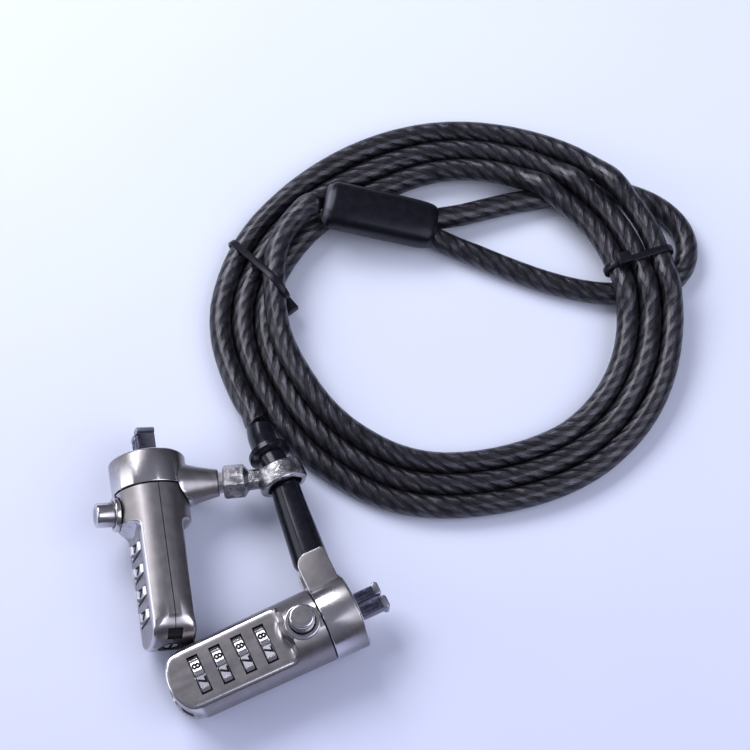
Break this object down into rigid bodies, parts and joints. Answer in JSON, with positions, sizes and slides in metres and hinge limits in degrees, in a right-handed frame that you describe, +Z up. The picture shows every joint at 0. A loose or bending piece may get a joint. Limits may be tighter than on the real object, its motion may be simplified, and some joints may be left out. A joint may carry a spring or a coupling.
{
  "type": "laptop cable lock",
  "caption": "Twin-head combination laptop lock: dial heads with push buttons on swivel collars, joined to a coiled clear-jacketed steel cable with a crimped end loop.",
  "frame": {"origin": "bottom centre of the box round the two lock heads and the pieces that join them, on the surface they lie on", "axes": "+Z up; +X to the right and +Y away from the viewer, with the coil at the upper right"},
  "size_m": [0.1481, 0.1556, 0.0227],
  "materials": {
    "steel": "satin with polished edges",
    "dark_steel": "dark blued",
    "bright_steel": "polished",
    "black_plastic": "gloss",
    "matte_black": "matte",
    "jacket": "smoky clear over twisted strands",
    "boot_rubber": "smooth gloss"
  },
  "bodies": {
    "cable": {"cable_coil": "jacket", "cable_lead": "jacket", "cable_tail": "jacket", "cable_loop": "jacket", "crimp_sleeve": "black_plastic", "tie_left": "matte_black", "tie_right": "matte_black", "boot": "boot_rubber", "ferrule": "bright_steel", "clevis_pin": "bright_steel"},
    "eye": {"eye_fitting": "bright_steel", "arm_stud": "bright_steel"},
    "collar_a": {"collar_a": "steel"},
    "body_a": {"top_shell_a": "steel", "bottom_shell_a": "steel", "end_insert_a": "matte_black", "button_bezel_a": "steel", "nose_a": "steel", "hook_pin_far_a": "bright_steel", "hook_pin_near_a": "bright_steel"},
    "dial_a1": {"dial_a1": "steel"},
    "dial_a2": {"dial_a2": "steel"},
    "dial_a3": {"dial_a3": "steel"},
    "dial_a4": {"dial_a4": "steel"},
    "screw_a": {"reset_spindle_a": "bright_steel"},
    "button_a": {"button_a": "steel"},
    "hook_far_a": {"hook_far_a": "dark_steel"},
    "hook_near_a": {"hook_near_a": "dark_steel"},
    "collar_b": {"collar_b": "steel"},
    "body_b": {"top_shell_b": "steel", "bottom_shell_b": "steel", "end_insert_b": "matte_black", "button_bezel_b": "steel", "nose_b": "steel", "hook_pin_far_b": "bright_steel", "hook_pin_near_b": "bright_steel"},
    "dial_b1": {"dial_b1": "steel"},
    "dial_b2": {"dial_b2": "steel"},
    "dial_b3": {"dial_b3": "steel"},
    "dial_b4": {"dial_b4": "steel"},
    "screw_b": {"reset_spindle_b": "bright_steel"},
    "button_b": {"button_b": "steel"},
    "hook_far_b": {"hook_far_b": "dark_steel"},
    "hook_near_b": {"hook_near_b": "dark_steel"}
  },
  "joints": [
    {"name": "clevis_a", "type": "hinge", "parent": "cable", "child": "collar_a", "pos_m": [0.01731, -0.00122, 0.009], "axis": [0, 0, 1], "range_deg": [0, 40]},
    {"name": "eye_turn", "type": "hinge", "parent": "cable", "child": "eye", "pos_m": [0.00901, 0.0225, 0.009], "axis": [-0.4067, 0.9135, 0], "range_deg": [0, 60]},
    {"name": "arm_swivel", "type": "hinge", "parent": "eye", "child": "collar_b", "pos_m": [-0.00554, 0.02102, 0.009], "axis": [0.9948, 0.1015, 0], "continuous": true},
    {"name": "swivel_a", "type": "hinge", "parent": "collar_a", "child": "body_a", "pos_m": [0.01876, -0.01328, 0.009], "axis": [0.9018, 0.4321, 0], "continuous": true},
    {"name": "turn_dial_a1", "type": "hinge", "parent": "body_a", "child": "dial_a1", "pos_m": [0.0064, -0.0192, 0.009], "axis": [0.9018, 0.4321, 0], "continuous": true},
    {"name": "turn_dial_a2", "type": "hinge", "parent": "body_a", "child": "dial_a2", "pos_m": [0.00153, -0.02153, 0.009], "axis": [0.9018, 0.4321, 0], "continuous": true},
    {"name": "turn_dial_a3", "type": "hinge", "parent": "body_a", "child": "dial_a3", "pos_m": [-0.00334, -0.02387, 0.009], "axis": [0.9018, 0.4321, 0], "continuous": true},
    {"name": "turn_dial_a4", "type": "hinge", "parent": "body_a", "child": "dial_a4", "pos_m": [-0.00821, -0.0262, 0.009], "axis": [0.9018, 0.4321, 0], "continuous": true},
    {"name": "reset_a", "type": "hinge", "parent": "body_a", "child": "screw_a", "pos_m": [-0.0083, -0.02624, 0.009], "axis": [0.9018, 0.4321, 0], "range_deg": [0, 90]},
    {"name": "press_a", "type": "slide", "parent": "body_a", "child": "button_a", "axis": [0, 0, 1], "range_m": [-0.0015, 0], "stiffness_N_per_m": 300},
    {"name": "pinch_far_a", "type": "hinge", "parent": "body_a", "child": "hook_far_a", "pos_m": [0.01843, -0.01166, 0.009], "axis": [0, 0, 1], "range_deg": [-0.9, 0]},
    {"name": "pinch_near_a", "type": "hinge", "parent": "body_a", "child": "hook_near_a", "pos_m": [0.01981, -0.01455, 0.009], "axis": [0, 0, 1], "range_deg": [0, 0.9]},
    {"name": "swivel_b", "type": "hinge", "parent": "collar_b", "child": "body_b", "pos_m": [-0.02144, 0.01802, 0.009], "axis": [-0.165, 0.9863, 0], "range_deg": [-90, 90]},
    {"name": "turn_dial_b1", "type": "hinge", "parent": "body_b", "child": "dial_b1", "pos_m": [-0.01918, 0.00451, 0.009], "axis": [-0.165, 0.9863, 0], "continuous": true},
    {"name": "turn_dial_b2", "type": "hinge", "parent": "body_b", "child": "dial_b2", "pos_m": [-0.01829, -0.00082, 0.009], "axis": [-0.165, 0.9863, 0], "continuous": true},
    {"name": "turn_dial_b3", "type": "hinge", "parent": "body_b", "child": "dial_b3", "pos_m": [-0.0174, -0.00614, 0.009], "axis": [-0.165, 0.9863, 0], "continuous": true},
    {"name": "turn_dial_b4", "type": "hinge", "parent": "body_b", "child": "dial_b4", "pos_m": [-0.01651, -0.01147, 0.009], "axis": [-0.165, 0.9863, 0], "continuous": true},
    {"name": "reset_b", "type": "hinge", "parent": "body_b", "child": "screw_b", "pos_m": [-0.01649, -0.01157, 0.009], "axis": [-0.165, 0.9863, 0], "range_deg": [0, 90]},
    {"name": "press_b", "type": "slide", "parent": "body_b", "child": "button_b", "axis": [-0.9432, -0.1578, 0.2924], "range_m": [-0.0015, 0], "stiffness_N_per_m": 300},
    {"name": "pinch_far_b", "type": "hinge", "parent": "body_b", "child": "hook_far_b", "pos_m": [-0.02197, 0.01834, 0.00747], "axis": [-0.9432, -0.1578, 0.2924], "range_deg": [-0.9, 0]},
    {"name": "pinch_near_b", "type": "hinge", "parent": "body_b", "child": "hook_near_b", "pos_m": [-0.02105, 0.01849, 0.01053], "axis": [-0.9432, -0.1578, 0.2924], "range_deg": [0, 0.9]}
  ],
  "couplings": [
    {"joint": "pinch_far_a", "follows": "press_a", "rad_per_m": 10.42},
    {"joint": "pinch_near_a", "follows": "press_a", "rad_per_m": -10.42},
    {"joint": "pinch_far_b", "follows": "press_b", "rad_per_m": 10.42},
    {"joint": "pinch_near_b", "follows": "press_b", "rad_per_m": -10.42}
  ]
}
